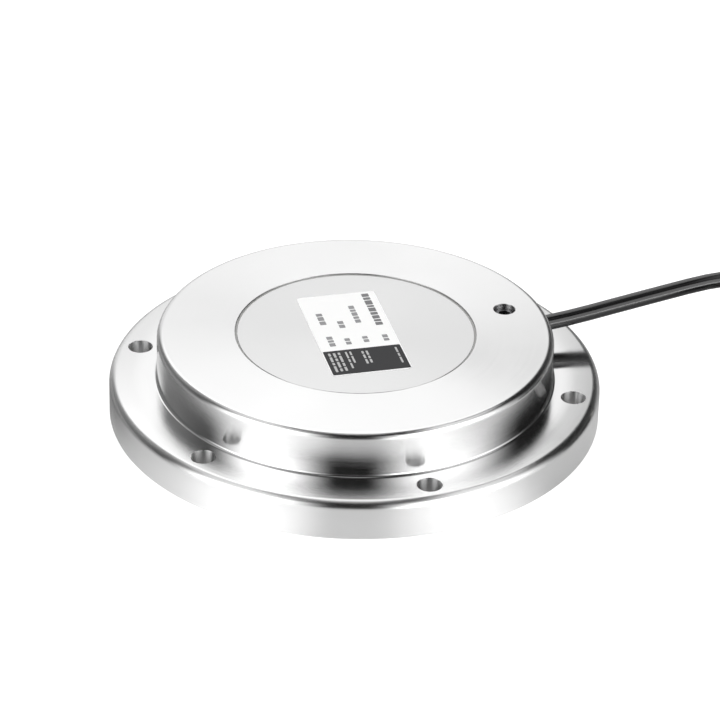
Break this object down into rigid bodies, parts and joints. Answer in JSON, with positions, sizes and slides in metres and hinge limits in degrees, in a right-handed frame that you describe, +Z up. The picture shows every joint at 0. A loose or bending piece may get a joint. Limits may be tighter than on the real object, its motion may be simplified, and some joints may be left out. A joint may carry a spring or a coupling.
{
  "type": "weighing load cell",
  "caption": "Low-profile flanged disc load cell in polished steel: bolt flange, raised rim with a flush round cover and label, threaded load hub below, and a sensor cable out of the rim.",
  "frame": {"origin": "centre of the flange's seating face, on the surface that it stands on", "axes": "+Z up along the turned axis, from the seating face to the cover; +X along the cable's exit"},
  "size_m": [0.373, 0.18, 0.0339],
  "materials": {
    "polished_steel": "polished",
    "cover_steel": "satin",
    "seal_rubber": "matte",
    "label_film": "satin",
    "black_steel": "black oxide",
    "nylon": "matte",
    "bush_rubber": "satin",
    "cable_jacket": "satin",
    "tie_nylon": "satin",
    "sleeve_plastic": "satin",
    "red_insulation": "gloss",
    "black_insulation": "gloss",
    "green_insulation": "gloss",
    "white_insulation": "gloss",
    "tinned_copper": "satin",
    "board_laminate": "satin",
    "spacer_brass": "turned",
    "screw_steel": "zinc plated",
    "resistor_body": "matte",
    "gauge_film": "satin",
    "copper_wire": "enamelled"
  },
  "bodies": {
    "root": {"body": "polished_steel", "cover_plate": "cover_steel", "cover_seal": "seal_rubber", "rating_label": "label_film", "clamp_screw": "black_steel", "clamp_pad": "nylon", "cable_bush": "bush_rubber", "cable_run": "cable_jacket", "cable_coil": "cable_jacket", "cable_tail": "cable_jacket", "coil_ties": "tie_nylon", "end_sleeve": "sleeve_plastic", "end_red": "red_insulation", "end_black": "black_insulation", "end_green": "green_insulation", "end_white": "white_insulation", "end_drain": "tinned_copper", "lead_tips": "tinned_copper", "terminal_board": "board_laminate", "board_spacers": "spacer_brass", "board_screws": "screw_steel", "trim_resistors": "resistor_body", "solder_joints": "tinned_copper", "strain_gauges": "gauge_film", "gauge_wires": "copper_wire", "core_red": "red_insulation", "core_black": "black_insulation", "core_green": "green_insulation", "core_white": "white_insulation", "core_drain": "tinned_copper"}
  },
  "joints": []
}
